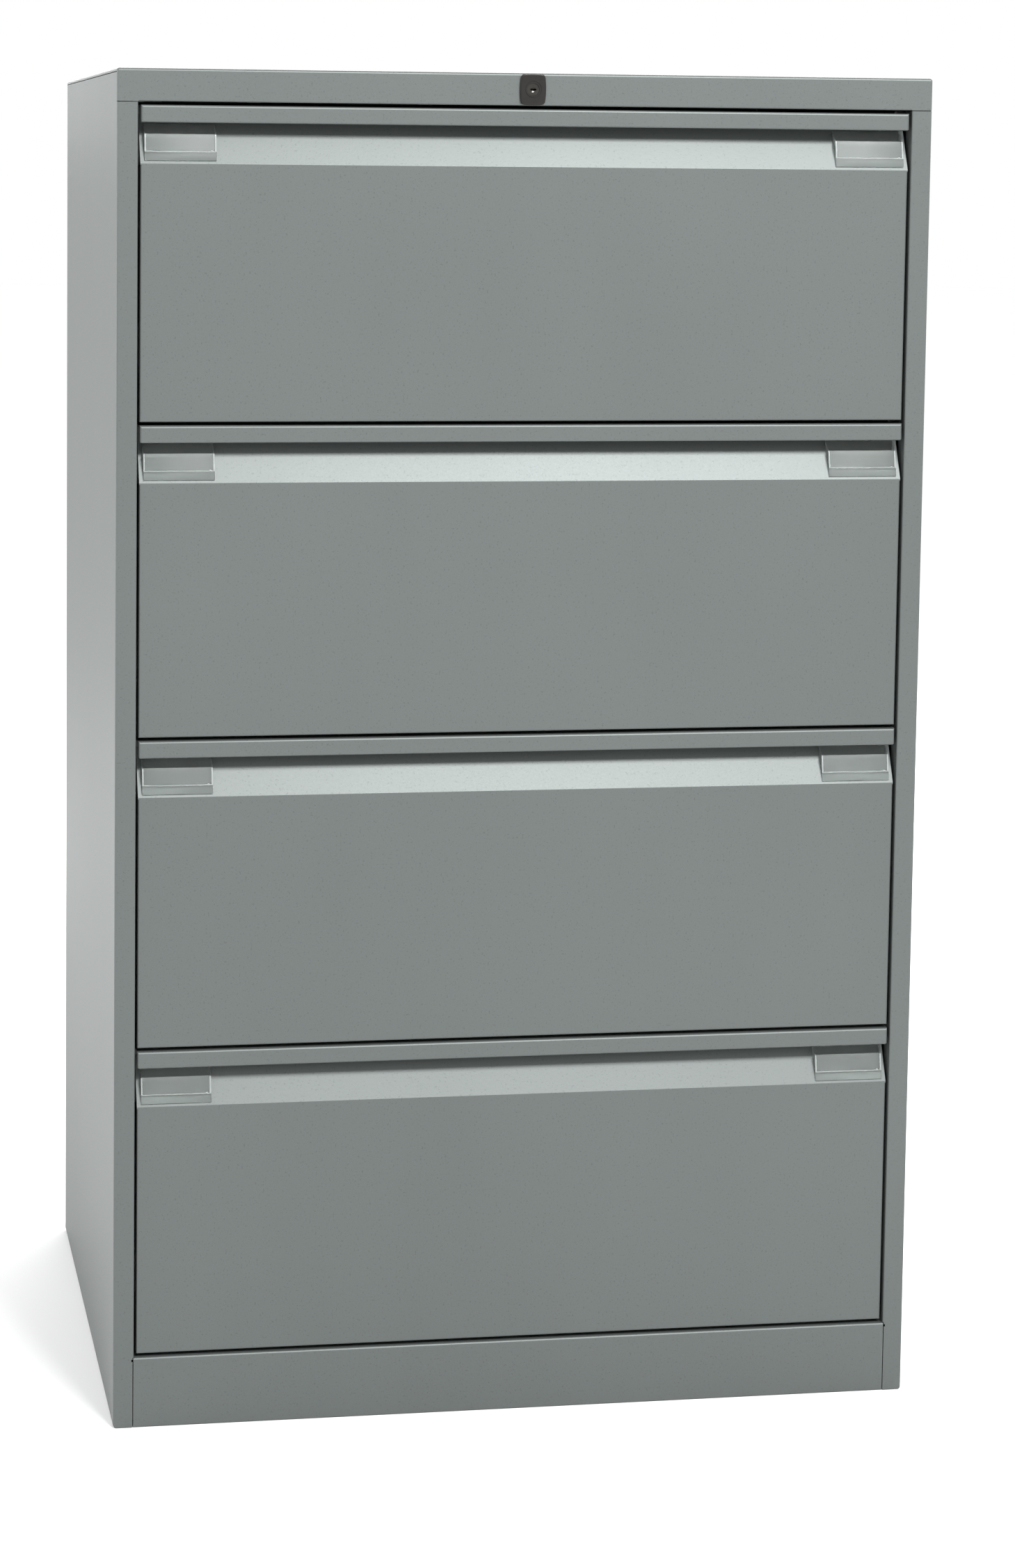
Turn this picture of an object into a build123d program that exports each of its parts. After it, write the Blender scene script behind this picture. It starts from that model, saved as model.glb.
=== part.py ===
"""Double-width steel filing cabinet with four drawers on telescopic runners.

Millimetres, +Z up. The front faces -Y, and the origin is on the floor, under the middle of the overall box.
"""

import os
from math import cos, pi, radians, sin, tan

from build123d import *

os.makedirs("parts", exist_ok=True)

# ---- overall size
WIDTH = 800.0
DEPTH = 622.0  # from the lock's face to the back
HEIGHT = 1321.0
DRAWERS = 4

# ---- sheet metal
SHELL = 1.0  # casing sheet
DRAWER_SHEET = 0.8  # drawer sheet
POST_SHEET = 1.2  # runner posts and centre rails
SEAM = 0.7  # open joint between two visible casing panels
TIGHT_BEND = 1.5  # outer radius of a sharp fold
SOFT_BEND = 2.5  # outer radius of a rounded fold
FIT = 0.3  # assembly clearance between parts that don't touch

# ---- casing
LOCK_PROUD = 3.0  # how far the lock's face stands in front of the casing
FRONT = -DEPTH / 2 + LOCK_PROUD
BACK = DEPTH / 2
STILE = 20.2  # width of the upright edge on each side of the drawers
STILE_RETURN = 18.0  # depth of its inner fold
TOP_FLANGE = 31.0  # height of the top panel's front edge
TOP_RETURN = 14.0
TOP_SIDE_EDGE = 3.0  # depth of the top panel's turned-down side edge
TOP_REAR_FLANGE = 25.0
REAR_RETURN = 15.0
FOOT_RETURN = 20.0  # width of the side panel's fold on the floor
FOOT_CORNER = 4.0  # radius of the casing's lower corners
PLINTH = 70.0
PLINTH_SHELF = 18.0
PLINTH_HEM = 12.0
PLINTH_LAP = 1.2  # how far the plinth runs under the stile's fold
PLINTH_SEAM = 0.8  # open joint between the plinth and the stile
PLINTH_NOTCH = (4.0, 1.5)  # gauge notch in the stile's edge: its ends below the plinth's top
PAN_TOP = 59.0  # level of the base pan
PAN_FLANGE = 19.0

# ---- drawers
GAP = 3.2  # open gap above each drawer
SIDE_GAP = 2.4  # open gap beside each drawer front
LIP = 16.6  # height of the pull lip
RECESS = 38.7  # height of the hand recess under the lip
FACE_SETBACK = 2.5  # the flat face lies this far behind the lip
SLOPE = radians(25.6)  # lean of the recess from upright
SLOPE_LAP = 8.0  # how far the sloped sheet rises behind the lip
SLOPE_FLANGE = 6.0
LIP_HEM = 6.0
TRAY_LIFT = 12.0  # underside of the tray above the face's lower edge
TRAY_HEADROOM = 39.0  # from the tray's top to the top of its bay
TRAY_REAR_GAP = 25.0
HANGER_WIDTH = 12.0
HANGER_HEM = 10.0
CENTRE_RAIL = (28.0, 22.0)  # width and depth of the middle hanging rail

# ---- runners
RUNNER_SETBACK = 28.0  # from the casing front to the runner's front end
RUNNER_REAR_GAP = 39.0  # from the runner's back end to the back panel
RUNNER_CLEAR = 0.5  # between the moving members and the stile
RUNNER_LEVEL = 75.0  # runner centre above the foot of each drawer's bay
RUNNER_DEPTH = 18.0  # thickness of the closed runner
RUNNER_HEIGHT = 52.0
RUNNER_SHEET = 1.5
BALL = 4.0  # ball diameter
BALL_PLAY = 0.05
WEB_GAP = 1.0  # between the webs of two runner members
CAGE_LENGTH = 160.0
CAGE_BALLS = 7
CAGE_SHEET = 0.8
CAGE_WIDTH = 6.0
HOOK = (3.5, 12.0, 8.0)  # runner hook: reach, length, height
SLOT_CLEAR = 1.0  # around a hook in its slot
POST_WIDTH = 50.0
FRONT_POST = 60.0  # front post's front face behind the casing front
REAR_POST = 90.0  # rear post's back face before the casing back
SLOTS_PER_BAY = 3
SLOT_STEP = 60.0

# ---- label holders
LABEL_WIDTH = 68.6
LABEL_INSET = 4.1
LABEL_RISE = 3.0  # lower edge above the fold
LABEL_BAR = 8.0  # height of the bar along the lower edge
LABEL_FOOT = 1.2  # thickness at the lower edge
LABEL_STEP = 0.8  # the window lies this far behind the bar's face
LABEL_WINDOW = 17.0  # height of the window above the bar
LABEL_LEAN = radians(10.0)  # lean of the bar and the window from upright
LABEL_HEIGHT = 35.0  # up to where the side walls run out on the slope
LABEL_WALL = 1.2
LABEL_SEAT = 0.1  # adhesive between the holder and the slope

# ---- lock
LOCK_PLATE = (25.4, 30.0)
LOCK_CORNER = 4.0
LOCK_BULGE = (1.2, 0.6)  # how far its sides and its ends bow out
LOCK_EDGE = 1.2  # rounding of its front edge
LOCK_BARREL = 5.9  # radius
LOCK_PLAY = 0.08
LOCK_SUNK = 0.6  # the cylinder's face behind the housing's
LOCK_GROOVE = (1.5, 0.7, 0.4)  # ring groove: distance from the cylinder, width and depth
LOCK_BOSS = 8.8  # radius of the housing's boss
LOCK_BOSS_LENGTH = 18.0
KEYWAY = (6.0, 1.8, 12.0)  # width, height and depth
KEYWAY_DISH = (2.3, 0.6)  # radius and depth
CAM_GAP = 2.0  # from the boss to the cam
CAM_RADIUS = 7.0
CAM_RIM = 1.6  # of the cam round its pin
CAM_SHEET = 3.0
CRANK_PIN = 2.5  # radius of the pins that run in the slots
PIN_PLAY = 0.5
PIN_PROUD = 1.0  # the pins reach this far past the slide
LOCK_TURN = pi / 2
SLIDE_SHEET = 3.0
SLIDE_SETBACK = 24.5  # its front face behind the casing front
SLIDE_DROP = 1.0  # its middle below the middle of the cam pin's travel
SLIDE_HALF = 7.2  # half its height
SLIDE_END_HALF = 10.2  # half the height of its wide left end
SLIDE_END_RISE = 1.6  # the wide end's middle above the slide's
SLIDE_END = (6.5, 12.0, 5.0)  # wide end: margin past the pin at each side, and its taper
SLIDE_TAIL = 9.0  # past the cam's pin
SLIDE_CORNER = 1.5
SLOT_RIM = 2.0  # above and below the upright slot
LOOP_WIDTH = 12.0
BAR_SETBACK = 30.0
BAR_SHEET = 3.0
BAR_WIDTH = 11.0
BAR_CLEAR = 1.5  # from the runners to the bar
BAR_PIN_INSET = 2.5  # its pin, past the stile's edge
BAR_TAIL = 60.0  # the bar ends this far below the lowest stud
FINGER_DEPTH = 10.0
FINGER_SHEET = 3.0
FINGER_CORNER = 2.0
FINGER_GAP = 4.0  # from its tip to the tray
FINGER_SLACK = 2.0  # before the stud
FINGER_CLEAR = 1.5  # below the stud when unlocked
CLIP_HEIGHT = 22.0
ARM_REACH = 5.5  # from the pin to the arm's edges
STUD_LEVEL = 200.0  # lock stud above the foot of each drawer's bay
STUD_RADIUS = 4.0
STUD_LENGTH = 10.0
STUD_COLLAR = (2.0, 1.5)  # width and thickness
STUD_CHAMFER = 0.6

# ---- levelling feet
FOOT_INSET = (45.0, 50.0)  # stud axis in from the side and from the front or back
FOOT_STUD = 5.0
FOOT_PLAY = 0.06
FOOT_DISC = (16.0, 6.5)  # radius and thickness
FOOT_EDGE = 1.5
FOOT_REST = 1.5  # the raised foot clears the floor by this
FOOT_STUD_TOP = 46.0
FOOT_STUD_CHAMFER = 0.8
FOOT_SLOT = (1.4, 3.0)  # driver slot: width and depth
FOOT_HOLE = 11.0  # radius of the hole over each foot
GUSSET = (66.0, 60.0, 2.5)  # reach, width and thickness
GUSSET_LEVEL = 20.0
NUT = (8.5, 8.0)  # inscribed radius and height

# ---- sizes that follow from the ones above
SIDE = WIDTH / 2
PITCH = (HEIGHT - TOP_FLANGE - GAP - PLINTH) / DRAWERS
FACE_Y = FRONT + FACE_SETBACK
FACE_HALF = SIDE - STILE - SIDE_GAP
SLOPE_RISE = RECESS + SLOPE_LAP
SLOPE_RUN = SLOPE_RISE * tan(SLOPE)
INNER_Y = FACE_Y + SLOPE_RUN + 2 * DRAWER_SHEET  # rear face of the inner front
INNER_SIDE = SIDE - SHELL  # inner face of the side panels
RUNNER_X = SIDE - STILE - RUNNER_CLEAR + RUNNER_SHEET + WEB_GAP  # outboard face of the runners
TRAY_X = RUNNER_X - RUNNER_DEPTH  # outer face of the tray's sides
TRAY_BACK = BACK - 2 * SHELL - TRAY_REAR_GAP
RUNNER_Y = FRONT + RUNNER_SETBACK
RUNNER_LENGTH = BACK - 2 * SHELL - RUNNER_REAR_GAP - RUNNER_Y
TRAY_HEIGHT = PITCH - GAP - TRAY_LIFT - TRAY_HEADROOM
LOCK_Z = HEIGHT - TOP_FLANGE / 2
LOCK_STROKE = 2 * CAM_RADIUS * sin(LOCK_TURN / 2)
SLIDE_Y = FRONT + SLIDE_SETBACK
BAR_Y = FRONT + BAR_SETBACK
BAR_X = -RUNNER_X - BAR_CLEAR - BAR_WIDTH / 2
BAR_PIN_X = -(SIDE - STILE) + BAR_PIN_INSET
FINGER_TIP = -TRAY_X - FINGER_GAP
STUD_Y = BAR_Y + BAR_SHEET + FINGER_SHEET + FINGER_SLACK + STUD_RADIUS
CAM_Y = FRONT + LOCK_BOSS_LENGTH + CAM_GAP
SLIDE_MIDDLE = LOCK_Z - CAM_RADIUS * (1 + cos(LOCK_TURN / 2)) / 2 - SLIDE_DROP
SLIDE_END_MIDDLE = SLIDE_MIDDLE + SLIDE_END_RISE
MIDDLE_HALF = RUNNER_HEIGHT / 2 - RUNNER_SHEET - BALL - 2 * BALL_PLAY  # middle member's half height
INNER_HALF = MIDDLE_HALF - RUNNER_SHEET - BALL - 2 * BALL_PLAY


def bay(number):
    """Foot of a drawer's bay. Drawer 1 is the top one."""
    return PLINTH + PITCH * (DRAWERS - number)


def folded(points, radii, sheet, side):
    """Section of a folded sheet whose outer face follows the points."""
    with BuildLine() as outline:
        FilletPolyline(*points, radius=radii)
        offset(amount=sheet, side=side)
    make_face(outline.edges())


def save(shape, name):
    shape.label = name
    export_step(shape, f"parts/{name}.step")


def both_sides(left):
    """The left-hand piece and its mirror image, as two solids of one node."""
    return Compound(children=[*left.solids(), *mirror(left, about=Plane.YZ).solids()])


def box(x, y, z, mode=Mode.ADD):
    """A block between two limits on each axis."""
    middle = tuple((low + high) / 2 for low, high in (x, y, z))
    with Locations(middle):
        Box(*[high - low for low, high in (x, y, z)], mode=mode)


# ---- casing


def side_panel():
    """Left side: outer skin, front stile, rear fold and the fold it stands on."""
    stile_x = -(SIDE - STILE)
    flange_foot = HEIGHT - TOP_FLANGE - SEAM
    skin_top = HEIGHT - TOP_SIDE_EDGE - SEAM
    with BuildPart() as panel:
        with BuildSketch(Plane.XY):
            folded(
                [
                    (stile_x, FRONT + STILE_RETURN),
                    (stile_x, FRONT),
                    (-SIDE, FRONT),
                    (-SIDE, BACK),
                    (-SIDE + REAR_RETURN, BACK),
                ],
                TIGHT_BEND,
                SHELL,
                Side.RIGHT,
            )
        extrude(amount=skin_top)
        # the top panel's front and rear flanges take the place of the skin here
        box((-SIDE, stile_x), (FRONT, FRONT + TIGHT_BEND + SEAM), (flange_foot, HEIGHT), Mode.SUBTRACT)
        box(
            (-SIDE + SHELL, stile_x),
            (FRONT, FRONT + STILE_RETURN),
            (flange_foot, HEIGHT),
            Mode.SUBTRACT,
        )
        box(
            (-SIDE, stile_x),
            (BACK - TIGHT_BEND - SEAM, BACK),
            (HEIGHT - TOP_REAR_FLANGE - SEAM, HEIGHT),
            Mode.SUBTRACT,
        )
        # the plinth takes the place of the stile's inner fold
        box(
            (stile_x - PLINTH_LAP, stile_x),
            (FRONT, FRONT + STILE_RETURN),
            (0, PLINTH + FIT),
            Mode.SUBTRACT,
        )
        box(
            (stile_x - 2 * PLINTH_LAP, stile_x),
            (FRONT, FRONT + 2 * SHELL),
            (PLINTH - PLINTH_NOTCH[0], PLINTH - PLINTH_NOTCH[1]),
            Mode.SUBTRACT,
        )
        # rounded lower corner
        with BuildSketch(Plane.XZ.offset(-BACK)):
            with BuildLine():
                Polyline((-SIDE, FOOT_CORNER), (-SIDE, 0), (-SIDE + FOOT_CORNER, 0))
                RadiusArc((-SIDE + FOOT_CORNER, 0), (-SIDE, FOOT_CORNER), FOOT_CORNER)
            make_face()
        extrude(amount=BACK - FRONT, mode=Mode.SUBTRACT)
        with BuildSketch(Plane.XZ.offset(-BACK)):
            folded(
                [(-SIDE, 2 * FOOT_CORNER), (-SIDE, 0), (-SIDE + FOOT_RETURN, 0)],
                FOOT_CORNER,
                SHELL,
                Side.LEFT,
            )
        extrude(amount=BACK - FRONT - TIGHT_BEND)
        box(
            (stile_x - PLINTH_LAP - FIT, stile_x + FOOT_RETURN),
            (FRONT, FRONT + PLINTH_SHELF + FIT),
            (0, SHELL),
            Mode.SUBTRACT,
        )
    return panel.part


def top_panel():
    """Lid with a deep front edge, a rear edge and a short turned-down edge on each side."""
    foot = HEIGHT - TOP_FLANGE
    opening = SIDE - STILE - FIT
    with BuildPart() as lid:
        box((-SIDE, SIDE), (FRONT, BACK), (foot, HEIGHT))
        fillet(lid.edges().filter_by(Axis.Z), TIGHT_BEND)
        fillet(lid.faces().sort_by(Axis.Z)[-1].edges(), SOFT_BEND)
        offset(amount=-SHELL, openings=lid.faces().sort_by(Axis.Z)[0], kind=Kind.INTERSECTION)
        for x in ((-SIDE, -SIDE + SOFT_BEND), (SIDE - SOFT_BEND, SIDE)):
            box(
                x,
                (FRONT + TIGHT_BEND, BACK - TIGHT_BEND),
                (foot, HEIGHT - TOP_SIDE_EDGE),
                Mode.SUBTRACT,
            )
        box((-SIDE, SIDE), (0, BACK), (foot, HEIGHT - TOP_REAR_FLANGE), Mode.SUBTRACT)
        box(
            (-opening, opening),
            (FRONT, FRONT + TIGHT_BEND),
            (foot, foot + 2 * SOFT_BEND),
            Mode.SUBTRACT,
        )
        with BuildSketch(Plane.YZ.offset(-opening)):
            folded(
                [
                    (FRONT + TOP_RETURN, foot),
                    (FRONT, foot),
                    (FRONT, foot + 2 * SOFT_BEND),
                ],
                TIGHT_BEND,
                SHELL,
                Side.RIGHT,
            )
        extrude(amount=2 * opening)
        with Locations(Plane(origin=(0, FRONT, LOCK_Z), x_dir=(1, 0, 0), z_dir=(0, -1, 0))):
            Hole(LOCK_BOSS + FIT, depth=2 * SHELL)
    return lid.part


def back_panel():
    with BuildPart() as panel:
        box(
            (-INNER_SIDE + TIGHT_BEND / 2, INNER_SIDE - TIGHT_BEND / 2),
            (BACK - 2 * SHELL, BACK - SHELL),
            (FOOT_CORNER, HEIGHT - SOFT_BEND - FIT),
        )
    return panel.part


def plinth_panel():
    half = SIDE - STILE + PLINTH_LAP - PLINTH_SEAM
    with BuildPart() as plinth:
        with BuildSketch(Plane.YZ.offset(-half)):
            folded(
                [
                    (FRONT + PLINTH_SHELF, PLINTH - PLINTH_HEM),
                    (FRONT + PLINTH_SHELF, PLINTH),
                    (FRONT, PLINTH),
                    (FRONT, 0),
                    (FRONT + PLINTH_SHELF, 0),
                ],
                [TIGHT_BEND, SOFT_BEND, TIGHT_BEND],
                SHELL,
                Side.LEFT,
            )
        extrude(amount=2 * half)
    return plinth.part


def foot_places():
    x, y = FOOT_INSET
    return {
        "front_left": (-SIDE + x, FRONT + y),
        "front_right": (SIDE - x, FRONT + y),
        "rear_left": (-SIDE + x, BACK - y),
        "rear_right": (SIDE - x, BACK - y),
    }


def base_pan():
    """Floor of the casing, with a hole over each levelling foot."""
    with BuildPart() as pan:
        with BuildSketch(Plane.XZ.offset(-(FRONT + PLINTH_SHELF))):
            folded(
                [
                    (-INNER_SIDE, PAN_TOP - PAN_FLANGE),
                    (-INNER_SIDE, PAN_TOP),
                    (INNER_SIDE, PAN_TOP),
                    (INNER_SIDE, PAN_TOP - PAN_FLANGE),
                ],
                TIGHT_BEND,
                SHELL,
                Side.RIGHT,
            )
        extrude(amount=-(BACK - 2 * SHELL - FRONT - PLINTH_SHELF))
        with Locations(*[(x, y, PAN_TOP) for x, y in foot_places().values()]):
            Hole(FOOT_HOLE, depth=2 * SHELL)
    return pan.part


def runner_posts():
    """Two slotted posts on each side carry the runners."""
    top = HEIGHT - TOP_FLANGE
    fronts = (FRONT + FRONT_POST, BACK - REAR_POST - POST_WIDTH)
    reach, length, height = HOOK
    with BuildPart() as pair:
        for front in fronts:
            with BuildSketch(Plane.XY.offset(PAN_TOP)):
                folded(
                    [
                        (-INNER_SIDE, front),
                        (-RUNNER_X, front),
                        (-RUNNER_X, front + POST_WIDTH),
                        (-INNER_SIDE, front + POST_WIDTH),
                    ],
                    2 * POST_SHEET,
                    POST_SHEET,
                    Side.LEFT,
                )
            extrude(amount=top - PAN_TOP)
            middle = front + POST_WIDTH / 2
            for number in range(1, DRAWERS + 1):
                for step in range(SLOTS_PER_BAY):
                    level = bay(number) + RUNNER_LEVEL + step * SLOT_STEP
                    box(
                        (-RUNNER_X - reach, -RUNNER_X),
                        (middle - length / 2 - SLOT_CLEAR, middle + length / 2 + SLOT_CLEAR),
                        (level - height / 2 - SLOT_CLEAR, level + height / 2 + SLOT_CLEAR),
                        Mode.SUBTRACT,
                    )
    return both_sides(pair.part)


# ---- runners


def channel(web_x, edge_x, half, y, level):
    """A channel-shaped runner member: its web stands at web_x and its flanges reach to edge_x."""
    inward = 1 if edge_x > web_x else -1
    web = sorted((web_x, web_x + inward * RUNNER_SHEET))
    flange = sorted((web_x, edge_x))
    box(web, y, (level - half, level + half))
    box(flange, y, (level + half - RUNNER_SHEET, level + half))
    box(flange, y, (level - half, level - half + RUNNER_SHEET))


def runner_outer(level):
    """Cabinet member, hooked into the posts."""
    reach, length, height = HOOK
    middles = (FRONT + FRONT_POST + POST_WIDTH / 2, BACK - REAR_POST - POST_WIDTH / 2)
    with BuildPart() as member:
        channel(
            -RUNNER_X,
            -TRAY_X - RUNNER_SHEET - 2 * WEB_GAP,
            RUNNER_HEIGHT / 2,
            (RUNNER_Y, RUNNER_Y + RUNNER_LENGTH),
            level,
        )
        for middle in middles:
            box(
                (-RUNNER_X - reach, -RUNNER_X),
                (middle - length / 2, middle + length / 2),
                (level - height / 2, level + height / 2),
            )
    return both_sides(member.part)


def runner_middle(level):
    with BuildPart() as member:
        channel(
            -RUNNER_X + RUNNER_SHEET + WEB_GAP,
            -TRAY_X - RUNNER_SHEET - WEB_GAP,
            MIDDLE_HALF,
            (RUNNER_Y, RUNNER_Y + RUNNER_LENGTH),
            level,
        )
    return both_sides(member.part)


def runner_inner(level):
    """Drawer member, fixed to the tray's side."""
    with BuildPart() as member:
        channel(
            -TRAY_X,
            -RUNNER_X + 2 * RUNNER_SHEET + 2 * WEB_GAP,
            INNER_HALF,
            (RUNNER_Y, RUNNER_Y + RUNNER_LENGTH),
            level,
        )
    return both_sides(member.part)


def ball_cages(level):
    """Strips of balls: the outer pair at the middle member's back end, the inner pair at its front."""
    outer_z = RUNNER_HEIGHT / 2 - RUNNER_SHEET - BALL / 2 - BALL_PLAY
    inner_z = MIDDLE_HALF - RUNNER_SHEET - BALL / 2 - BALL_PLAY
    x = -(RUNNER_X + TRAY_X) / 2
    back_start = RUNNER_Y + RUNNER_LENGTH - CAGE_LENGTH
    strips = []
    for height, start in ((outer_z, back_start), (inner_z, RUNNER_Y)):
        for sign in (-1, 1):
            z = level + sign * height
            with BuildPart() as strip:
                box(
                    (x - CAGE_WIDTH / 2, x + CAGE_WIDTH / 2),
                    (start, start + CAGE_LENGTH),
                    (z - CAGE_SHEET / 2, z + CAGE_SHEET / 2),
                )
                with Locations((x, start + CAGE_LENGTH / 2, z)):
                    with GridLocations(0, CAGE_LENGTH / CAGE_BALLS, 1, CAGE_BALLS):
                        Sphere(BALL / 2)
            strips.append(strip.part)
    left = Compound(children=strips)
    return both_sides(left)


# ---- drawers


def drawer_front(foot):
    """Outer panel: flat face with folded edges, and the sloped hand recess above it."""
    fold = foot + PITCH - LIP - RECESS
    top_y = FACE_Y + SLOPE_RUN
    with BuildPart() as panel:
        box(
            (-FACE_HALF, FACE_HALF),
            (FACE_Y, INNER_Y - DRAWER_SHEET),
            (foot + GAP, fold - TIGHT_BEND),
        )
        front = panel.faces().sort_by(Axis.Y)[0]
        fillet(front.edges().sort_by(Axis.Z)[:3], TIGHT_BEND)
        open_sides = [panel.faces().sort_by(Axis.Z)[-1], panel.faces().sort_by(Axis.Y)[-1]]
        offset(amount=-DRAWER_SHEET, openings=open_sides)
        with BuildSketch(Plane.YZ.offset(-FACE_HALF)):
            folded(
                [
                    (FACE_Y, fold - TIGHT_BEND),
                    (FACE_Y, fold),
                    (top_y, fold + SLOPE_RISE),
                    (top_y, fold + SLOPE_RISE + SLOPE_FLANGE),
                ],
                TIGHT_BEND,
                DRAWER_SHEET,
                Side.RIGHT,
            )
        extrude(amount=2 * FACE_HALF)
    return panel.part


def inner_front(foot):
    """Inner panel that closes the tray and folds forward into the pull lip, a shallow box at its front."""
    top = foot + PITCH
    hem_y = FRONT + LIP_HEM
    with BuildPart() as panel:
        box((-FACE_HALF, FACE_HALF), (FRONT, hem_y), (top - LIP, top))
        front_edges = panel.faces().sort_by(Axis.Y)[0].edges().sort_by(Axis.Z)
        fillet(front_edges[1:], SOFT_BEND)
        fillet(panel.faces().sort_by(Axis.Y)[0].edges().sort_by(Axis.Z)[0], TIGHT_BEND)
        offset(amount=-DRAWER_SHEET, openings=panel.faces().sort_by(Axis.Y)[-1])
        with BuildSketch(Plane.YZ.offset(-FACE_HALF)):
            folded(
                [(INNER_Y, foot + GAP), (INNER_Y, top), (hem_y, top)],
                TIGHT_BEND,
                DRAWER_SHEET,
                Side.LEFT,
            )
        extrude(amount=2 * FACE_HALF)
    return panel.part


def tray(foot):
    """Welded tray: a floor between two sides with hanging rails along their tops, and a back."""
    floor = foot + GAP + TRAY_LIFT
    top = floor + TRAY_HEIGHT
    with BuildPart() as side:
        with BuildSketch(Plane.XZ.offset(-INNER_Y)):
            folded(
                [
                    (-TRAY_X + HANGER_WIDTH, top - HANGER_HEM),
                    (-TRAY_X + HANGER_WIDTH, top),
                    (-TRAY_X, top),
                    (-TRAY_X, floor),
                ],
                TIGHT_BEND,
                DRAWER_SHEET,
                Side.LEFT,
            )
        extrude(amount=-(TRAY_BACK - INNER_Y))
    inside = (-TRAY_X + DRAWER_SHEET, TRAY_X - DRAWER_SHEET)
    with BuildPart() as bottom:
        box(inside, (INNER_Y, TRAY_BACK), (floor, floor + DRAWER_SHEET))
    with BuildPart() as back:
        box(
            (inside[0] + HANGER_WIDTH, inside[1] - HANGER_WIDTH),
            (TRAY_BACK - DRAWER_SHEET, TRAY_BACK),
            (floor + DRAWER_SHEET, top),
        )
        box(
            inside,
            (TRAY_BACK - DRAWER_SHEET, TRAY_BACK),
            (floor + DRAWER_SHEET, top - HANGER_HEM - FIT),
        )
    return Compound(children=[*both_sides(side.part).solids(), bottom.part, back.part])


def centre_rail(foot):
    """Hanging rail along the middle of the tray, so that two rows of files hang side by side."""
    width, depth = CENTRE_RAIL
    top = foot + GAP + TRAY_LIFT + TRAY_HEIGHT
    with BuildPart() as rail:
        with BuildSketch(Plane.XZ.offset(-INNER_Y)):
            folded(
                [
                    (-width / 2, top - depth),
                    (-width / 2, top),
                    (width / 2, top),
                    (width / 2, top - depth),
                ],
                2 * POST_SHEET,
                POST_SHEET,
                Side.RIGHT,
            )
        extrude(amount=-(TRAY_BACK - DRAWER_SHEET - INNER_Y))
    return rail.part


def label_holders(foot):
    """Clear wedge at each end of the recess: a bar and a leaning window in front of a card pocket."""
    fold = foot + PITCH - LIP - RECESS
    right = FACE_HALF - LABEL_INSET
    low = LABEL_RISE
    bar_top = low + LABEL_BAR
    high = low + LABEL_HEIGHT

    def before_slope(height, distance):
        return (FACE_Y + height * tan(SLOPE) - distance, fold + height)

    bar_y = before_slope(low, LABEL_SEAT + LABEL_FOOT)[0]
    window_y = bar_y + LABEL_BAR * tan(LABEL_LEAN) + LABEL_STEP

    def behind_window(height, distance):
        return (window_y + (height - bar_top) * tan(LABEL_LEAN) + distance, fold + height)

    with BuildPart() as holder:
        with BuildSketch(Plane.YZ.offset(right - LABEL_WIDTH)):
            with BuildLine():
                Polyline(
                    before_slope(low, LABEL_SEAT),
                    (bar_y, fold + low),
                    behind_window(bar_top, -LABEL_STEP),
                    behind_window(bar_top, 0),
                    behind_window(bar_top + LABEL_WINDOW, 0),
                    behind_window(bar_top + LABEL_WINDOW, LABEL_WALL),
                    before_slope(high, LABEL_SEAT),
                    close=True,
                )
            make_face()
        extrude(amount=LABEL_WIDTH)
        with BuildSketch(Plane.YZ.offset(right - LABEL_WIDTH + LABEL_WALL)):
            with BuildLine():
                Polyline(
                    behind_window(bar_top, LABEL_WALL),
                    behind_window(high, LABEL_WALL),
                    before_slope(high, LABEL_SEAT + LABEL_WALL),
                    before_slope(bar_top, LABEL_SEAT + LABEL_WALL),
                    close=True,
                )
            make_face()
        extrude(amount=LABEL_WIDTH - 2 * LABEL_WALL, mode=Mode.SUBTRACT)
    return both_sides(holder.part)


def lock_stud(foot):
    """Shouldered stud that the lock bar's finger holds."""
    with BuildPart() as stud:
        with BuildSketch(Plane.YZ.offset(-TRAY_X)):
            with Locations((STUD_Y, foot + STUD_LEVEL)):
                Circle(STUD_RADIUS + STUD_COLLAR[0])
        extrude(amount=-STUD_COLLAR[1])
        with BuildSketch(Plane.YZ.offset(-TRAY_X)):
            with Locations((STUD_Y, foot + STUD_LEVEL)):
                Circle(STUD_RADIUS)
        extrude(amount=-STUD_LENGTH)
        chamfer(stud.faces().sort_by(Axis.X)[0].edges(), STUD_CHAMFER)
    return stud.part


# ---- lock


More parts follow.
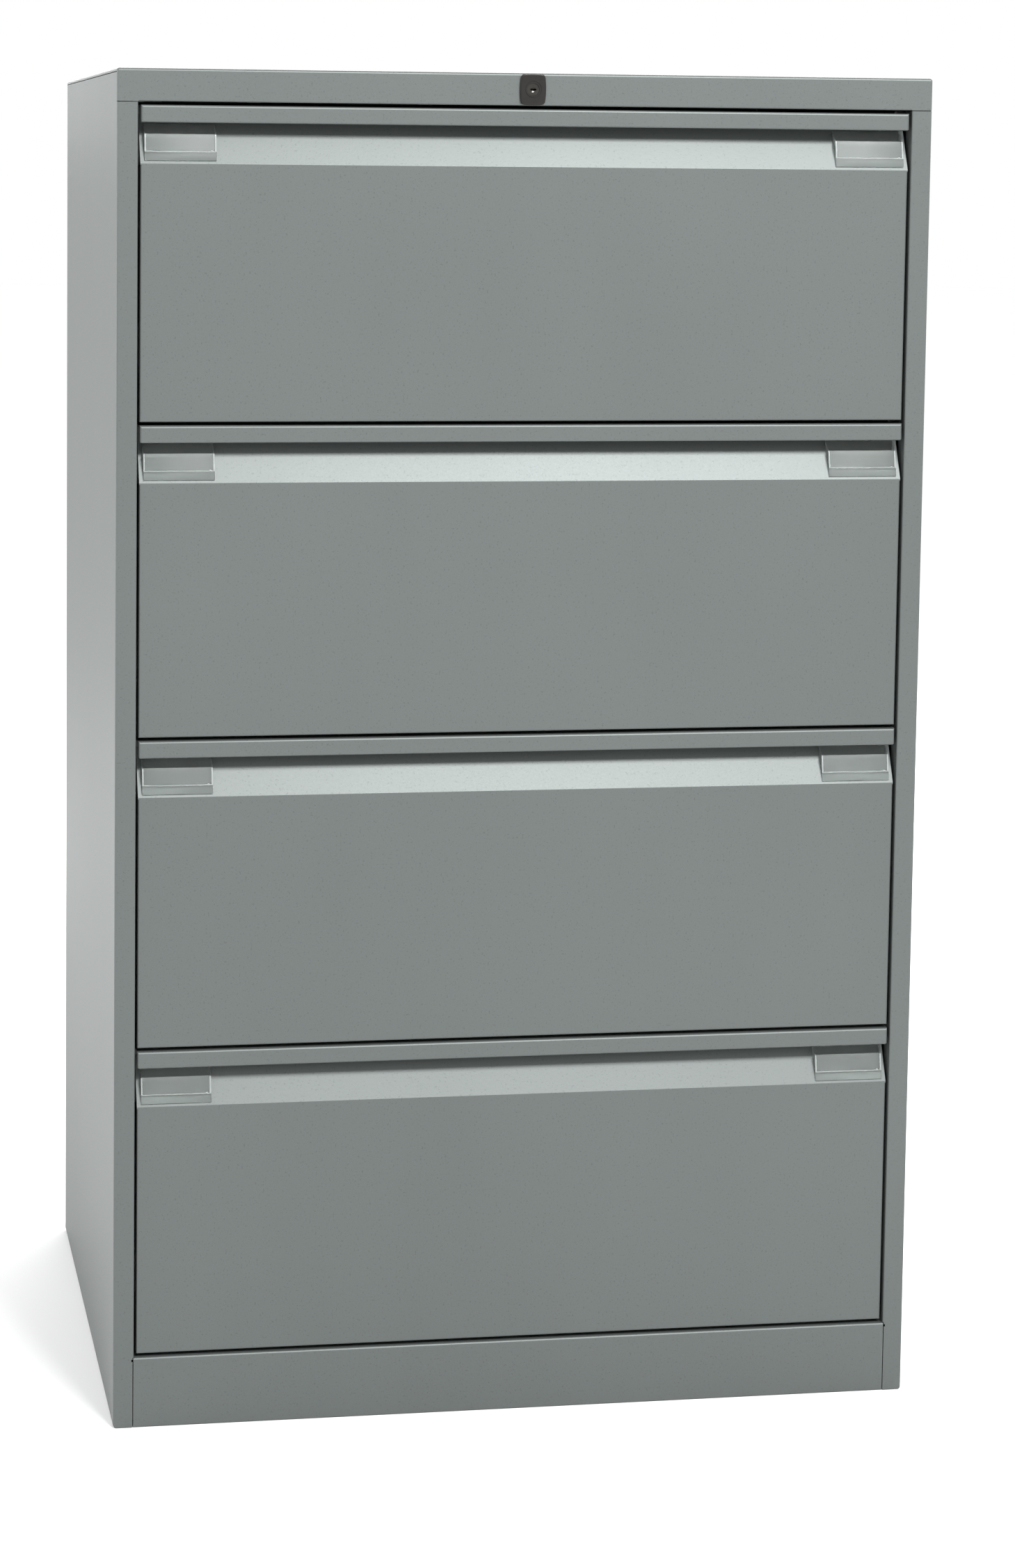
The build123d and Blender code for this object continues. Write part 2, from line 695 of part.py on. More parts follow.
def lock_housing():
    """Moulded shroud on the top panel's front edge, with a boss for the cylinder."""
    width, height = LOCK_PLATE
    groove, groove_width, groove_depth = LOCK_GROOVE
    face = Plane(origin=(0, FRONT, LOCK_Z), x_dir=(1, 0, 0), z_dir=(0, -1, 0))
    with BuildPart() as housing:
        with BuildSketch(face):
            with BuildLine():
                corner_x, corner_z = width / 2 - LOCK_BULGE[0], height / 2 - LOCK_BULGE[1]
                ThreePointArc((-corner_x, corner_z), (0, height / 2), (corner_x, corner_z))
                ThreePointArc((corner_x, corner_z), (width / 2, 0), (corner_x, -corner_z))
                ThreePointArc((corner_x, -corner_z), (0, -height / 2), (-corner_x, -corner_z))
                ThreePointArc((-corner_x, -corner_z), (-width / 2, 0), (-corner_x, corner_z))
            make_face()
            fillet(vertices(), LOCK_CORNER)
        extrude(amount=LOCK_PROUD)
        fillet(housing.faces().sort_by(Axis.Y)[0].edges(), LOCK_EDGE)
        with BuildSketch(face):
            Circle(LOCK_BOSS)
        extrude(amount=-LOCK_BOSS_LENGTH)
        with Locations(face.offset(LOCK_PROUD)):
            Hole(LOCK_BARREL + LOCK_PLAY, depth=LOCK_PROUD + LOCK_BOSS_LENGTH)
        with BuildSketch(face.offset(LOCK_PROUD)):
            Circle(LOCK_BARREL + groove + groove_width)
            Circle(LOCK_BARREL + groove, mode=Mode.SUBTRACT)
        extrude(amount=-groove_depth, mode=Mode.SUBTRACT)
    return housing.part


def lock_cylinder():
    """Barrel with a level keyway."""
    width, height, depth = KEYWAY
    face = Plane(origin=(0, FRONT - LOCK_PROUD + LOCK_SUNK, LOCK_Z), x_dir=(1, 0, 0), z_dir=(0, -1, 0))
    with BuildPart() as barrel:
        with BuildSketch(face):
            Circle(LOCK_BARREL)
        extrude(amount=-(LOCK_PROUD - LOCK_SUNK + LOCK_BOSS_LENGTH + CAM_GAP))
        with BuildSketch(face):
            SlotOverall(width, height)
        extrude(amount=-depth, mode=Mode.SUBTRACT)
        with BuildSketch(face):
            Circle(KEYWAY_DISH[0])
        extrude(amount=-KEYWAY_DISH[1], mode=Mode.SUBTRACT)
    return barrel.part


def cam_pin():
    """Centre of the cam's pin at rest, in X and Z."""
    half = LOCK_TURN / 2
    return CAM_RADIUS * sin(half), LOCK_Z - CAM_RADIUS * cos(half)


def lock_cam():
    """Cam plate with the pin that drives the slide."""
    x, z = cam_pin()
    with BuildPart() as cam:
        with BuildSketch(Plane.XZ.offset(-CAM_Y)):
            with Locations((0, LOCK_Z)):
                Circle(LOCK_BARREL)
            with Locations((x, z)):
                Circle(CRANK_PIN + CAM_RIM)
            make_hull()
        extrude(amount=-CAM_SHEET)
        with BuildSketch(Plane.XZ.offset(-CAM_Y - CAM_SHEET)):
            with Locations((x, z)):
                Circle(CRANK_PIN)
        extrude(amount=-(SLIDE_Y + SLIDE_SHEET + PIN_PROUD - CAM_Y - CAM_SHEET))
    return cam.part


def lock_slide():
    """Flat bar from the lock to the lock bar, with an upright slot and a slanting one for their pins."""
    x, z = cam_pin()
    tail = x + SLIDE_TAIL
    slot = CRANK_PIN + PIN_PLAY
    margin, far_margin, taper = SLIDE_END
    start, end = BAR_PIN_X - margin, BAR_PIN_X + LOCK_STROKE + far_margin
    low, high = SLIDE_MIDDLE - SLIDE_HALF, SLIDE_MIDDLE + SLIDE_HALF
    end_low, end_high = SLIDE_END_MIDDLE - SLIDE_END_HALF, SLIDE_END_MIDDLE + SLIDE_END_HALF
    with BuildPart() as bar:
        with BuildSketch(Plane.XZ.offset(-SLIDE_Y)):
            with BuildLine():
                FilletPolyline(
                    (start, end_low),
                    (end, end_low),
                    (end + taper, low),
                    (tail, low),
                    (tail, high),
                    (end + taper, high),
                    (end, end_high),
                    (start, end_high),
                    radius=SLIDE_CORNER,
                    close=True,
                )
            make_face()
            with Locations((x, SLIDE_MIDDLE + SLIDE_DROP)):
                SlotOverall(2 * (SLIDE_HALF - SLOT_RIM), 2 * slot, rotation=90, mode=Mode.SUBTRACT)
            with Locations((BAR_PIN_X + LOCK_STROKE / 2, SLIDE_END_MIDDLE)):
                SlotCenterToCenter(
                    LOCK_STROKE / cos(radians(45)) + PIN_PLAY,
                    2 * slot,
                    rotation=45,
                    mode=Mode.SUBTRACT,
                )
        extrude(amount=-SLIDE_SHEET)
    return bar.part


def lock_bar():
    """Upright bar, with the arm and pin at its top that the slide lifts."""
    pin_z = SLIDE_END_MIDDLE - LOCK_STROKE / 2
    low = bay(DRAWERS) + STUD_LEVEL - BAR_TAIL
    left = BAR_X - BAR_WIDTH / 2
    with BuildPart() as upright:
        box((left, left + BAR_WIDTH), (BAR_Y, BAR_Y + BAR_SHEET), (low, pin_z + ARM_REACH))
    with BuildPart() as arm:
        box(
            (left + BAR_WIDTH, BAR_PIN_X + ARM_REACH),
            (BAR_Y, BAR_Y + BAR_SHEET),
            (pin_z - ARM_REACH, pin_z + ARM_REACH),
        )
        with BuildSketch(Plane.XZ.offset(-BAR_Y)):
            with Locations((BAR_PIN_X, pin_z)):
                Circle(CRANK_PIN)
        extrude(amount=BAR_Y - SLIDE_Y + PIN_PROUD)
    return Compound(children=[upright.part, arm.part])


def lock_fingers():
    """A finger riveted behind the bar below each drawer's stud."""
    fingers = []
    start = BAR_Y + BAR_SHEET
    for number in range(1, DRAWERS + 1):
        tip = bay(number) + STUD_LEVEL - STUD_RADIUS - FINGER_CLEAR
        with BuildPart() as finger:
            box(
                (BAR_X - BAR_WIDTH / 2, FINGER_TIP),
                (start, start + FINGER_SHEET),
                (tip - FINGER_DEPTH, tip),
            )
            fillet(finger.edges().filter_by(Axis.Y).sort_by(Axis.X)[-2:], FINGER_CORNER)
        fingers.append(finger.part)
    return Compound(children=fingers)


def lock_guides():
    """Three clips on the left side hold the upright bar, and two loops under the top hold the slide."""
    left = BAR_X - BAR_WIDTH / 2
    back = BAR_Y + BAR_SHEET + FIT
    clip_edge = left + BAR_WIDTH
    levels = [
        bay(1) + STUD_LEVEL + STUD_RADIUS + CLIP_HEIGHT,
        bay(2) + STUD_LEVEL - BAR_TAIL + LOCK_STROKE,
        bay(DRAWERS) + STUD_LEVEL - BAR_TAIL + LOCK_STROKE,
    ]
    guides = []
    for level in levels:
        z = (level, level + CLIP_HEIGHT)
        with BuildPart() as clip:
            box((-INNER_SIDE, left - FIT), (BAR_Y - FIT - SHELL, back + SHELL), z)
            box((left - FIT, clip_edge), (BAR_Y - FIT - SHELL, BAR_Y - FIT), z)
            box((left - FIT, clip_edge), (back, back + SHELL), z)
        guides.append(clip.part)
    for x in (-2 * SIDE / 3, -SIDE / 4):
        across = (x - LOOP_WIDTH / 2, x + LOOP_WIDTH / 2)
        low = SLIDE_MIDDLE - SLIDE_HALF - FIT
        high = SLIDE_MIDDLE + SLIDE_HALF + FIT
        front, rear = SLIDE_Y - FIT, SLIDE_Y + SLIDE_SHEET + FIT
        with BuildPart() as loop:
            box(across, (front - SHELL, rear + SHELL), (low - SHELL, HEIGHT - SHELL))
            box(across, (front, rear), (low, high), Mode.SUBTRACT)
        guides.append(loop.part)
    return Compound(children=guides)


# ---- levelling feet


def foot_gussets():
    """Corner plates that the levelling studs screw through."""
    length, width, sheet = GUSSET
    plates = []
    for x, y in foot_places().values():
        outer = -INNER_SIDE if x < 0 else INNER_SIDE
        inward = 1 if x < 0 else -1
        with BuildPart() as plate:
            box(
                sorted((outer, outer + inward * length)),
                (y - width / 2, y + width / 2),
                (GUSSET_LEVEL, GUSSET_LEVEL + sheet),
            )
            box(
                sorted((outer, outer + inward * sheet)),
                (y - width / 2, y + width / 2),
                (GUSSET_LEVEL, PAN_TOP - PAN_FLANGE - FIT),
            )
            with Locations((x, y, GUSSET_LEVEL + sheet)):
                Hole(FOOT_STUD + FOOT_PLAY, depth=sheet)
        plates.append(plate.part)
    return Compound(children=plates)


def foot_nuts():
    radius, height = NUT
    nuts = []
    for x, y in foot_places().values():
        with BuildPart() as nut:
            with BuildSketch(Plane.XY.offset(GUSSET_LEVEL + GUSSET[2])):
                with Locations((x, y)):
                    RegularPolygon(radius, 6, major_radius=False)
                    Circle(FOOT_STUD + FOOT_PLAY, mode=Mode.SUBTRACT)
            extrude(amount=height)
        nuts.append(nut.part)
    return Compound(children=nuts)


def foot(x, y):
    """Disc on a stud with a driver slot, screwed up clear of the floor."""
    radius, thickness = FOOT_DISC
    with BuildPart() as leveller:
        with BuildSketch(Plane.XY.offset(FOOT_REST)):
            with Locations((x, y)):
                Circle(radius)
        extrude(amount=thickness)
        fillet(leveller.edges().filter_by(GeomType.CIRCLE), FOOT_EDGE)
        with BuildSketch(Plane.XY.offset(FOOT_REST + thickness)):
            with Locations((x, y)):
                Circle(FOOT_STUD)
        extrude(amount=FOOT_STUD_TOP - FOOT_REST - thickness)
        chamfer(leveller.faces().sort_by(Axis.Z)[-1].edges(), FOOT_STUD_CHAMFER)
        box(
            (x - FOOT_STUD, x + FOOT_STUD),
            (y - FOOT_SLOT[0] / 2, y + FOOT_SLOT[0] / 2),
            (FOOT_STUD_TOP - FOOT_SLOT[1], FOOT_STUD_TOP),
            Mode.SUBTRACT,
        )
    return leveller.part


# ---- write every piece

left_panel = side_panel()
save(mirror(left_panel, about=Plane.YZ), "side_panel_right")
save(left_panel, "side_panel_left")
save(top_panel(), "top_panel")
save(back_panel(), "back_panel")
save(plinth_panel(), "plinth_panel")
save(base_pan(), "base_pan")
save(runner_posts(), "runner_posts")
for number in range(1, DRAWERS + 1):
    foot_level = bay(number)
    level = foot_level + RUNNER_LEVEL
    name = f"drawer_{number}"
    save(drawer_front(foot_level), f"{name}_front")
    save(inner_front(foot_level), f"{name}_inner_front")
    save(tray(foot_level), f"{name}_tray")
    save(centre_rail(foot_level), f"{name}_centre_rail")
    save(label_holders(foot_level), f"{name}_label_holders")
    save(lock_stud(foot_level), f"{name}_lock_stud")
    save(runner_outer(level), f"{name}_runner_outer")
    save(runner_middle(level), f"{name}_runner_middle")
    save(runner_inner(level), f"{name}_runner_inner")
    save(ball_cages(level), f"{name}_ball_cages")
save(lock_housing(), "lock_housing")
save(lock_cylinder(), "lock_cylinder")
save(lock_cam(), "lock_cam")
save(lock_slide(), "lock_slide")
save(lock_bar(), "lock_bar")
save(lock_fingers(), "lock_fingers")
save(lock_guides(), "lock_guides")
save(foot_gussets(), "foot_gussets")
save(foot_nuts(), "foot_nuts")
for place, (x, y) in foot_places().items():
    save(foot(x, y), f"foot_{place}")
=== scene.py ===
"""A wide steel filing cabinet with four drawers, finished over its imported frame."""

from math import cos, pi, radians, sin

import bmesh
import bpy
from mathutils import Matrix, Vector


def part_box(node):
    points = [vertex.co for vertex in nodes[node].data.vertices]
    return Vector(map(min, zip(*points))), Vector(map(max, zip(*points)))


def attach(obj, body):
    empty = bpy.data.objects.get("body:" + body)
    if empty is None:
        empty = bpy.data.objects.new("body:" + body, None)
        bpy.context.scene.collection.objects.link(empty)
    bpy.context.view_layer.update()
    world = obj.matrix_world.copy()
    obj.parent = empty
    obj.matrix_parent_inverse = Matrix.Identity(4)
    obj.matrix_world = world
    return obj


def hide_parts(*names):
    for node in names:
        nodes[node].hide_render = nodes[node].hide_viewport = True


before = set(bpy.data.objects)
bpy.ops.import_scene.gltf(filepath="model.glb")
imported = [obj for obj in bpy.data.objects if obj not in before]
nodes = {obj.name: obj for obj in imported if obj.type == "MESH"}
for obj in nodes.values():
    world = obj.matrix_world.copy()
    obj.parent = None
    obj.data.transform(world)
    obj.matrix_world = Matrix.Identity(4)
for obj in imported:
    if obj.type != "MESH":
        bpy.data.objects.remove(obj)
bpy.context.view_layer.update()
drawers = [1, 2, 3, 4]


# ---- Studio
# A pale floor with nothing on it, a large key light high in front and to the right, a wide soft
# light for each side, and a bright, even room around them.
floor_size = 60.0
bpy.ops.object.select_all(action="DESELECT")
bpy.ops.mesh.primitive_plane_add(size=floor_size, location=(0, 0, 0))
floor = bpy.context.object
floor.name = "studio_floor"


class Wire:
    """One value on its way through a material's nodes. Arithmetic on wires adds Math nodes."""

    def __init__(self, tree, socket=None):
        self.tree = tree
        self.socket = socket

    def node(self, kind, sockets, take=0, stops=(), **settings):
        made = self.tree.nodes.new(kind)
        for name, value in settings.items():
            setattr(made, name, value)
        for index, (place, colour) in enumerate(stops):
            stop = made.color_ramp.elements[index] if index < 2 else made.color_ramp.elements.new(place)
            stop.position = place
            stop.color = colour
        for name, value in sockets.items():
            if isinstance(value, Wire):
                self.tree.links.new(value.socket, made.inputs[name])
            else:
                made.inputs[name].default_value = value
        return Wire(self.tree, made.outputs[take])

    def math(self, operation, *values):
        return self.node("ShaderNodeMath", dict(enumerate(values)), operation=operation)

    def __add__(self, other):
        return self.math("ADD", self, other)

    def __sub__(self, other):
        return self.math("SUBTRACT", self, other)

    def __rsub__(self, other):
        return self.math("SUBTRACT", other, self)

    def __mul__(self, other):
        return self.math("MULTIPLY", self, other)

    __radd__ = __add__
    __rmul__ = __mul__

    def step(self, low, high):
        """0 below low, 1 above high, and smooth between them."""
        limits = {"Value": self, "From Min": low, "From Max": high}
        return self.node("ShaderNodeMapRange", limits, interpolation_type="SMOOTHSTEP")

    def mix(self, low, high):
        """A colour between two, by this wire's value."""
        return self.node("ShaderNodeMix", {0: self, 6: low, 7: high}, take=2, data_type="RGBA")

    def noise(self, place, scale, detail=2.0, roughness=0.5):
        sockets = {"Vector": place, "Scale": scale, "Detail": detail, "Roughness": roughness}
        return self.node("ShaderNodeTexNoise", sockets)

    def bump(self, depth, strength=1.0):
        """A normal from this wire's value, as a height of up to depth metres."""
        return self.node("ShaderNodeBump", {"Height": self, "Distance": depth, "Strength": strength})


def new_material(name):
    """A material, a wire to start its nodes from, its Object coordinates and its shader's node."""
    material = bpy.data.materials.new(name)
    material.use_nodes = True
    tree = material.node_tree
    start = Wire(tree)
    place = start.node("ShaderNodeTexCoord", {}, take="Object")
    return material, start, place, tree.nodes["Principled BSDF"]


def feed(shader, sockets):
    for name, value in sockets.items():
        if isinstance(value, Wire):
            value.tree.links.new(value.socket, shader.inputs[name])
        else:
            shader.inputs[name].default_value = value


floor_dark = (0.76, 0.76, 0.76, 1)
floor_pale = (0.8, 0.8, 0.8, 1)
white = (1.0, 1.0, 1.0, 1)
white_from = 0.8
white_beyond = 4.0
floor_material, start, place, shader = new_material("studio_floor")
across = start.node("ShaderNodeVectorMath", {0: place}, take="Value", operation="LENGTH")
near_floor = start.noise(place, 0.7).mix(floor_dark, floor_pale)
lit_floor = across.step(white_from, white_beyond).mix(near_floor, white)
feed(shader, {"Base Color": lit_floor, "Roughness": 0.95, "Specular IOR Level": 0.2})
floor.data.materials.append(floor_material)


def studio_light(name, place, target, width, height, power):
    lamp = bpy.data.lights.new(name, "AREA")
    lamp.shape = "RECTANGLE"
    lamp.size = width
    lamp.size_y = height
    lamp.energy = power
    light = bpy.data.objects.new(name, lamp)
    light.location = place
    light.rotation_euler = (Vector(target) - Vector(place)).to_track_quat("-Z", "Y").to_euler()
    bpy.context.scene.collection.objects.link(light)


studio_light("key", (1.1, -3.65, 4.1), (0, -0.3, 0.62), 1.7, 1.0, 338)
studio_light("left_fill", (-3.4, 0.4, 1.6), (0, 0, 0.7), 2.4, 2.4, 98)
studio_light("right_fill", (3.6, 0.6, 1.8), (0, 0, 0.7), 2.4, 2.4, 55)
studio_light("back_fill", (0.4, 3.6, 2.2), (0, 0, 0.7), 2.6, 2.0, 90)

room = bpy.data.worlds.new("room")
bpy.context.scene.world = room
room.use_nodes = True
room.node_tree.nodes["Background"].inputs["Color"].default_value = white
room.node_tree.nodes["Background"].inputs["Strength"].default_value = 1.0
bpy.context.scene.view_settings.view_transform = "Standard"

# The camera stands to the left at eye height, turned a little right and down. Its lens is slid up
# and sideways, as a product camera's is, so that uprights stay nearly parallel.
front_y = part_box("plinth_panel")[0][1]
eye_left = 0.686
eye_away = 3.181
eye_height = 1.234
looks_right = 9.15
looks_down = 5.23
leans = 0.54
lens_length = 77.2
lens_slide = (0.1, -0.2)
camera_data = bpy.data.cameras.new("camera")
camera_data.lens = lens_length
camera_data.sensor_width = 36.0
camera_data.shift_x = lens_slide[0]
camera_data.shift_y = lens_slide[1]
camera = bpy.data.objects.new("camera", camera_data)
turn = Matrix.Rotation(radians(-looks_right), 4, "Z")
tilt = Matrix.Rotation(radians(90 - looks_down), 4, "X")
roll = Matrix.Rotation(radians(leans), 4, "Z")
eye = Matrix.Translation((-eye_left, front_y - eye_away, eye_height))
camera.matrix_world = eye @ turn @ tilt @ roll
bpy.context.scene.collection.objects.link(camera)
bpy.context.scene.camera = camera


# ---- Casing and drawer fronts
# Folded steel sheet in a mid-grey, slightly metallic powder coat, baked on after the panels
# are welded. The coat has a fine grain, a faint orange peel and soft clouds in its tone.
coat_clouds = 2.3
coat_streaks = 1.6
coat_grain = 700.0
coat_flecks = 520.0
coat_peel = 330.0
coat_relief = 0.00008


def powder_coat(name, dark, light, dimples=None):
    material, start, place, shader = new_material(name)
    clouds = start.noise(place, coat_clouds, 3.0)
    drawn_down = start.node("ShaderNodeMapping", {"Vector": place, "Scale": (5.0, 5.0, 0.8)})
    streaks = start.noise(drawn_down, coat_streaks, 3.0)
    speckle = start.noise(place, coat_grain, 3.0, 0.8)
    flecks = start.noise(place, coat_flecks, 1.0).step(0.62, 0.74)
    peel = start.noise(place, coat_peel, 2.0, 0.6)
    tone = 0.3 * clouds + 0.2 * streaks + 0.5 * speckle - 0.45 * flecks
    relief = 0.55 * peel + 0.45 * speckle
    if dimples:
        relief = relief - dimples(start, place)
    feed(
        shader,
        {
            "Base Color": tone.mix(dark, light),
            "Metallic": 0.45,
            "Roughness": 0.38 + 0.12 * speckle + 0.05 * clouds,
            "IOR": 1.5,
            "Normal": relief.bump(coat_relief, 0.7),
        },
    )
    return material


# The sides' rear folds are spot-welded to the back, and each weld leaves a shallow round dimple.
weld_step = 0.115
weld_radius = 0.0042
weld_depth = 6.0  # as a multiple of the coat's own relief
fold_half = 0.0075
back_face_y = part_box("side_panel_left")[1][1]
fold_middle_x = -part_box("side_panel_left")[0][0] - fold_half


def weld_dimples(start, place):
    x = start.node("ShaderNodeSeparateXYZ", {"Vector": place}, take="X")
    y = start.node("ShaderNodeSeparateXYZ", {"Vector": place}, take="Y")
    z = start.node("ShaderNodeSeparateXYZ", {"Vector": place}, take="Z")
    across = x.math("ABSOLUTE", x) - fold_middle_x
    up = z.math("PINGPONG", z, weld_step / 2)
    distance = up.math("SQRT", across * across + up * up)
    on_back = y.step(back_face_y - 0.0006, back_face_y - 0.0002)
    return weld_depth * on_back * (1.0 - distance.step(0.6 * weld_radius, weld_radius))


def coat(node, material):
    nodes[node].data.materials.clear()
    nodes[node].data.materials.append(material)


paint_dark = (0.0735, 0.0838, 0.081, 1)
paint_light = (0.1145, 0.1272, 0.1238, 1)
casing_paint = powder_coat("casing_powder_coat", paint_dark, paint_light)
side_paint = powder_coat("side_powder_coat", paint_dark, paint_light, weld_dimples)
drawer_paint = powder_coat("drawer_powder_coat", paint_dark, paint_light)
for node in ("side_panel_left", "side_panel_right"):
    coat(node, side_paint)
for node in ("top_panel", "back_panel", "plinth_panel", "base_pan"):
    coat(node, casing_paint)
for number in drawers:
    coat(f"drawer_{number}_front", drawer_paint)
    coat(f"drawer_{number}_inner_front", drawer_paint)
    coat(f"drawer_{number}_tray", drawer_paint)


# ---- Runners, posts and lock linkage
# Rolled and pressed from zinc-plated strip. The plate is bright but not polished, drawn out along
# the strip by the rolls and clouded where it was passivated.
def zinc_plate(name, dark, light, stretch):
    material, start, place, shader = new_material(name)
    along = start.node("ShaderNodeMapping", {"Vector": place, "Scale": stretch})
    rolled = start.noise(along, 60.0, 4.0, 0.6)
    clouds = start.noise(place, 14.0, 3.0)
    feed(
        shader,
        {
            "Base Color": (0.6 * rolled + 0.4 * clouds).mix(dark, light),
            "Metallic": 1.0,
            "Roughness": 0.26 + 0.18 * clouds + 0.1 * rolled,
            "Normal": rolled.bump(0.00005, 0.4),
        },
    )
    return material


zinc_dark = (0.3, 0.31, 0.32, 1)
zinc_light = (0.52, 0.53, 0.53, 1)
strip_zinc = zinc_plate("zinc_along_runner", zinc_dark, zinc_light, (18.0, 1.0, 18.0))
post_zinc = zinc_plate("zinc_along_post", zinc_dark, zinc_light, (18.0, 18.0, 1.0))
plate_zinc = zinc_plate("zinc_pressing", zinc_dark, zinc_light, (1.0, 6.0, 6.0))
for number in drawers:
    for member in ("runner_outer", "runner_middle", "runner_inner", "centre_rail"):
        coat(f"drawer_{number}_{member}", strip_zinc)
for node in ("runner_posts", "lock_bar"):
    coat(node, post_zinc)
for node in ("lock_slide", "lock_fingers", "lock_guides", "foot_gussets"):
    coat(node, plate_zinc)


# ---- Balls, studs and nuts
# Hard steel: ground and polished balls in their strips, and turned studs and nuts with a bright
# plating that keeps the faint rings of the lathe.
def turned_steel(name, dark, light, roughness):
    material, start, place, shader = new_material(name)
    stain = start.noise(place, 90.0, 3.0)
    rings = start.noise(place, 2200.0, 1.0)
    feed(
        shader,
        {
            "Base Color": stain.mix(dark, light),
            "Metallic": 1.0,
            "Roughness": roughness + 0.12 * stain,
            "Normal": rings.bump(0.00002, 0.4),
        },
    )
    return material


ball_steel = turned_steel("ball_steel", (0.6, 0.6, 0.62, 1), (0.8, 0.8, 0.81, 1), 0.08)
bright_plate = turned_steel("bright_zinc", (0.55, 0.55, 0.53, 1), (0.74, 0.74, 0.71, 1), 0.2)
cam_plate = turned_steel("nickel_plate", (0.4, 0.39, 0.36, 1), (0.56, 0.55, 0.52, 1), 0.22)
black_nickel = turned_steel("black_nickel", (0.03, 0.028, 0.026, 1), (0.06, 0.056, 0.052, 1), 0.3)
for number in drawers:
    coat(f"drawer_{number}_ball_cages", ball_steel)
    coat(f"drawer_{number}_lock_stud", bright_plate)
for node in ("foot_nuts", "foot_front_left", "foot_front_right", "foot_rear_left", "foot_rear_right"):
    coat(node, bright_plate)
coat("lock_cylinder", black_nickel)
coat("lock_cam", cam_plate)


# ---- Lock housing
# A shroud moulded in near-black nylon, clipped into the top panel's edge. Its skin is finely
# eroded by the mould, so that it shines softly on its rounded edges.
housing_plastic, start, place, shader = new_material("lock_housing_nylon")
erosion = start.noise(place, 1800.0, 3.0, 0.6)
handled = start.noise(place, 120.0, 2.0)
feed(
    shader,
    {
        "Base Color": handled.mix((0.004, 0.0036, 0.003, 1), (0.011, 0.0098, 0.0082, 1)),
        "Roughness": 0.26 + 0.15 * erosion,
        "IOR": 1.38,
        "Normal": erosion.bump(0.00003, 0.5),
    },
)
coat("lock_housing", housing_plastic)


# ---- Lock shutter
# A tiny spring flap of bright steel that closes the keyway behind its slot, and tips as the key
# goes in. Its lower edge shows as a glint under the slot.
shutter_size = (0.0026, 0.0007, 0.0016)
shutter_drop = 0.0021
shutter_round = 0.00025
shutter_sunk = 0.0006
shutter_tip = Matrix.Rotation(radians(-24), 4, "X")
shutter_twist = Matrix.Rotation(radians(12), 4, "Z")
cylinder_low, cylinder_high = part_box("lock_cylinder")
bpy.ops.object.select_all(action="DESELECT")
bpy.ops.mesh.primitive_cube_add(size=1)
shutter = bpy.context.object
shutter.name = "lock_keyway_shutter"
bpy.ops.object.mode_set(mode="EDIT")
bpy.ops.mesh.select_all(action="SELECT")
bpy.ops.transform.resize(value=shutter_size, center_override=(0, 0, 0))
bpy.ops.mesh.bevel(offset=shutter_round, segments=3)
bpy.ops.object.mode_set(mode="OBJECT")
bpy.ops.object.shade_smooth_by_angle(angle=radians(40))
lock_x = (cylinder_low[0] + cylinder_high[0]) / 2
lock_z = (cylinder_low[2] + cylinder_high[2]) / 2
shutter_seat = Matrix.Translation((lock_x, cylinder_low[1] + shutter_sunk, lock_z - shutter_drop))
shutter.data.transform(shutter_seat @ shutter_tip @ shutter_twist)
shutter.data.materials.append(ball_steel)
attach(shutter, "lock_barrel")


# ---- Label holders
# One clear styrene moulding at each end of every recess, stuck to the slope: a bar below, a thin
# leaning window with a thickened rim at each end, and a wedge-shaped cheek. All edges are rounded.
def clear_styrene(name, dark, light, clearness, roughness):
    material, start, place, shader = new_material(name)
    flow = start.noise(place, 55.0, 2.0)
    rub = start.noise(place, 700.0, 2.0)
    feed(
        shader,
        {
            "Base Color": flow.mix(dark, light),
            "Roughness": roughness + 0.12 * rub,
            "IOR": 1.34,
            "Specular IOR Level": 0.35,
            "Transmission Weight": clearness,
            "Normal": flow.bump(0.0002, 0.3),
        },
    )
    return material


thin_dark = (0.73, 0.765, 0.75, 1)
thin_light = (0.82, 0.855, 0.84, 1)
thick_dark = (0.5, 0.54, 0.53, 1)
thick_light = (0.6, 0.64, 0.63, 1)
thin_styrene = clear_styrene("clear_styrene", thin_dark, thin_light, 0.95, 0.38)
thick_styrene = clear_styrene("clear_styrene_rim", thick_dark, thick_light, 0.6, 0.16)
edge_round = 0.00035
weld_reach = 0.000004
holder_width = 0.0686
bar_height = 0.008
bar_step = 0.0008
window_height = 0.017
window_lean = radians(10)
rim_width = 0.0015
rim_proud = 0.0006
bead_height = 0.0008
gate_radius = 0.0011
gate_inset = 0.0045


def from_cad(name, node):
    """A copy of a CAD node's mesh as a new piece, its loose triangles welded into clean faces."""
    bpy.ops.object.select_all(action="DESELECT")
    piece = bpy.data.objects.new(name, nodes[node].data.copy())
    bpy.context.scene.collection.objects.link(piece)
    piece.data.materials.clear()
    bpy.context.view_layer.objects.active = piece
    piece.select_set(True)
    bpy.ops.object.mode_set(mode="EDIT")
    bpy.ops.mesh.select_all(action="SELECT")
    bpy.ops.mesh.remove_doubles(threshold=weld_reach)
    bpy.ops.mesh.dissolve_limited(angle_limit=radians(0.5))
    bpy.ops.object.mode_set(mode="OBJECT")
    return piece


